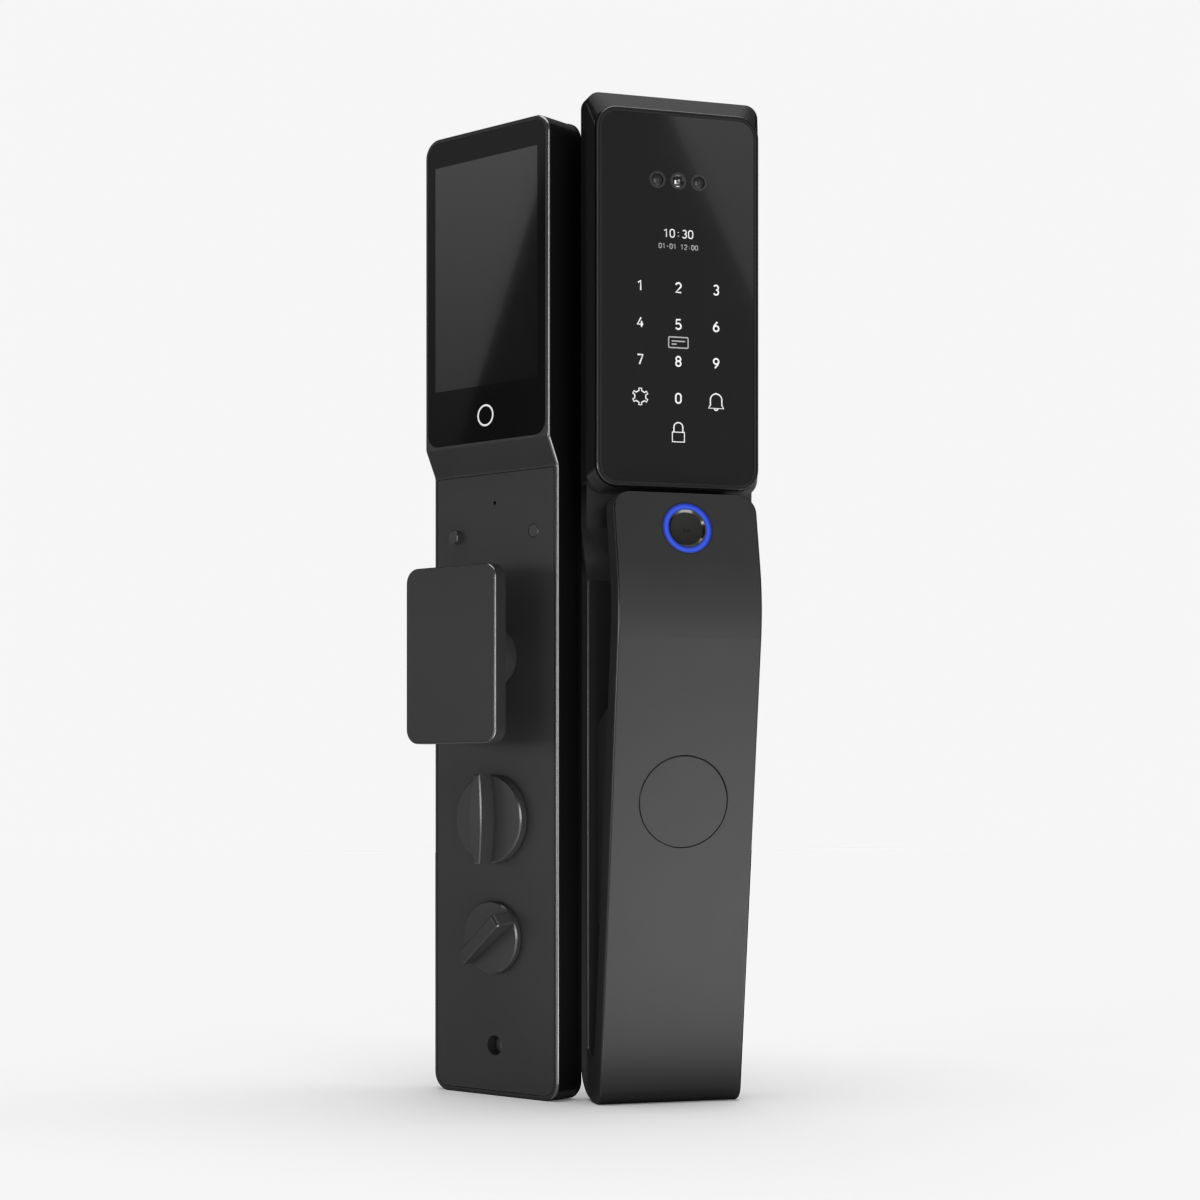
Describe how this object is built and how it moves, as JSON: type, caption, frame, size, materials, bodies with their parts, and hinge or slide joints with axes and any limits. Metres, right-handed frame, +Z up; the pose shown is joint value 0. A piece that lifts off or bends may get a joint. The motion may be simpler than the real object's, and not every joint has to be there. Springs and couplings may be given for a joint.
{
  "type": "keypad smart lock",
  "caption": "Keypad smart lock as an outdoor unit with touch glass and fixed loop handle and an indoor unit with screen, pull grip, thumbturns and push buttons.",
  "frame": {"origin": "middle of the pair's footprint on the floor that both units stand on", "axes": "+Z up; +Y out of the outdoor unit's flat back; +X to the right seen from outdoors"},
  "size_m": [0.1426, 0.1128, 0.43],
  "materials": {
    "cast_black": "satin black powder coat",
    "panel_black": "satin black powder coat",
    "rim_black": "semi-gloss black",
    "black_glass": "glossy black",
    "lens_glass": "glossy dark lens",
    "blue_light": "lit blue light guide",
    "sensor_black": "gloss black",
    "rubber_seal": "matte",
    "plated_steel": "zinc plated",
    "brass_core": "machined",
    "circuit_board": "solder mask",
    "inner_plastic": "moulded"
  },
  "bodies": {
    "lock_units": {"outdoor_body": "cast_black", "outdoor_gasket": "rubber_seal", "threaded_posts": "plated_steel", "cable_grommet": "rubber_seal", "handle_shell": "cast_black", "handle_post": "cast_black", "handle_screws": "plated_steel", "bezel_ring": "rim_black", "front_glass": "black_glass", "camera_lenses": "lens_glass", "touch_board": "circuit_board", "card_antenna": "circuit_board", "status_display": "inner_plastic", "camera_module": "inner_plastic", "outdoor_board": "circuit_board", "board_screws": "plated_steel", "doorbell_speaker": "inner_plastic", "sensor_cup": "sensor_black", "light_ring": "blue_light", "sensor_bezel": "rim_black", "fingerprint_sensor": "sensor_black", "key_cylinder": "brass_core", "indoor_housing": "cast_black", "lower_panel": "panel_black", "panel_screw": "plated_steel", "indoor_glass": "black_glass", "indoor_display": "inner_plastic", "battery_pack": "inner_plastic", "indoor_gasket": "rubber_seal", "mount_plate": "plated_steel", "main_board": "circuit_board", "button_switches": "inner_plastic", "indoor_speaker": "inner_plastic", "pull_plate": "cast_black", "pull_stem": "cast_black", "pull_screw": "plated_steel", "knob_bushes": "brass_core"},
    "deadbolt_turner": {"deadbolt_knob": "cast_black", "deadbolt_spindle": "plated_steel", "deadbolt_clip": "plated_steel"},
    "privacy_turner": {"privacy_knob": "cast_black", "privacy_spindle": "plated_steel", "privacy_clip": "plated_steel"},
    "open_push": {"open_button": "cast_black"},
    "setup_push": {"setup_button": "cast_black"},
    "cover_cap": {"key_cover": "cast_black"},
    "cylinder_core": {"key_plug": "brass_core", "key_tailpiece": "plated_steel"}
  },
  "joints": [
    {"name": "deadbolt_turn", "type": "hinge", "parent": "lock_units", "child": "deadbolt_turner", "pos_m": [-0.03338, 0.01685, 0.1217], "axis": [-0.8406, -0.5417, 0], "range_deg": [0, 90]},
    {"name": "privacy_turn", "type": "hinge", "parent": "lock_units", "child": "privacy_turner", "pos_m": [-0.03338, 0.01685, 0.0697], "axis": [-0.8406, -0.5417, 0], "range_deg": [-37, 53]},
    {"name": "open_press", "type": "slide", "parent": "lock_units", "child": "open_push", "axis": [0.8406, 0.5417, 0], "range_m": [0, 0.0008], "stiffness_N_per_m": 1200},
    {"name": "setup_press", "type": "slide", "parent": "lock_units", "child": "setup_push", "axis": [0.8406, 0.5417, 0], "range_m": [0, 0.0008], "stiffness_N_per_m": 1200},
    {"name": "cover_pull", "type": "slide", "parent": "lock_units", "child": "cover_cap", "axis": [0, -0.9913, -0.1314], "range_m": [0, 0.014]},
    {"name": "key_turn", "type": "hinge", "parent": "lock_units", "child": "cylinder_core", "pos_m": [0.03273, -0.02092, 0.1294], "axis": [0, -1, 0], "range_deg": [0, 90]}
  ]
}
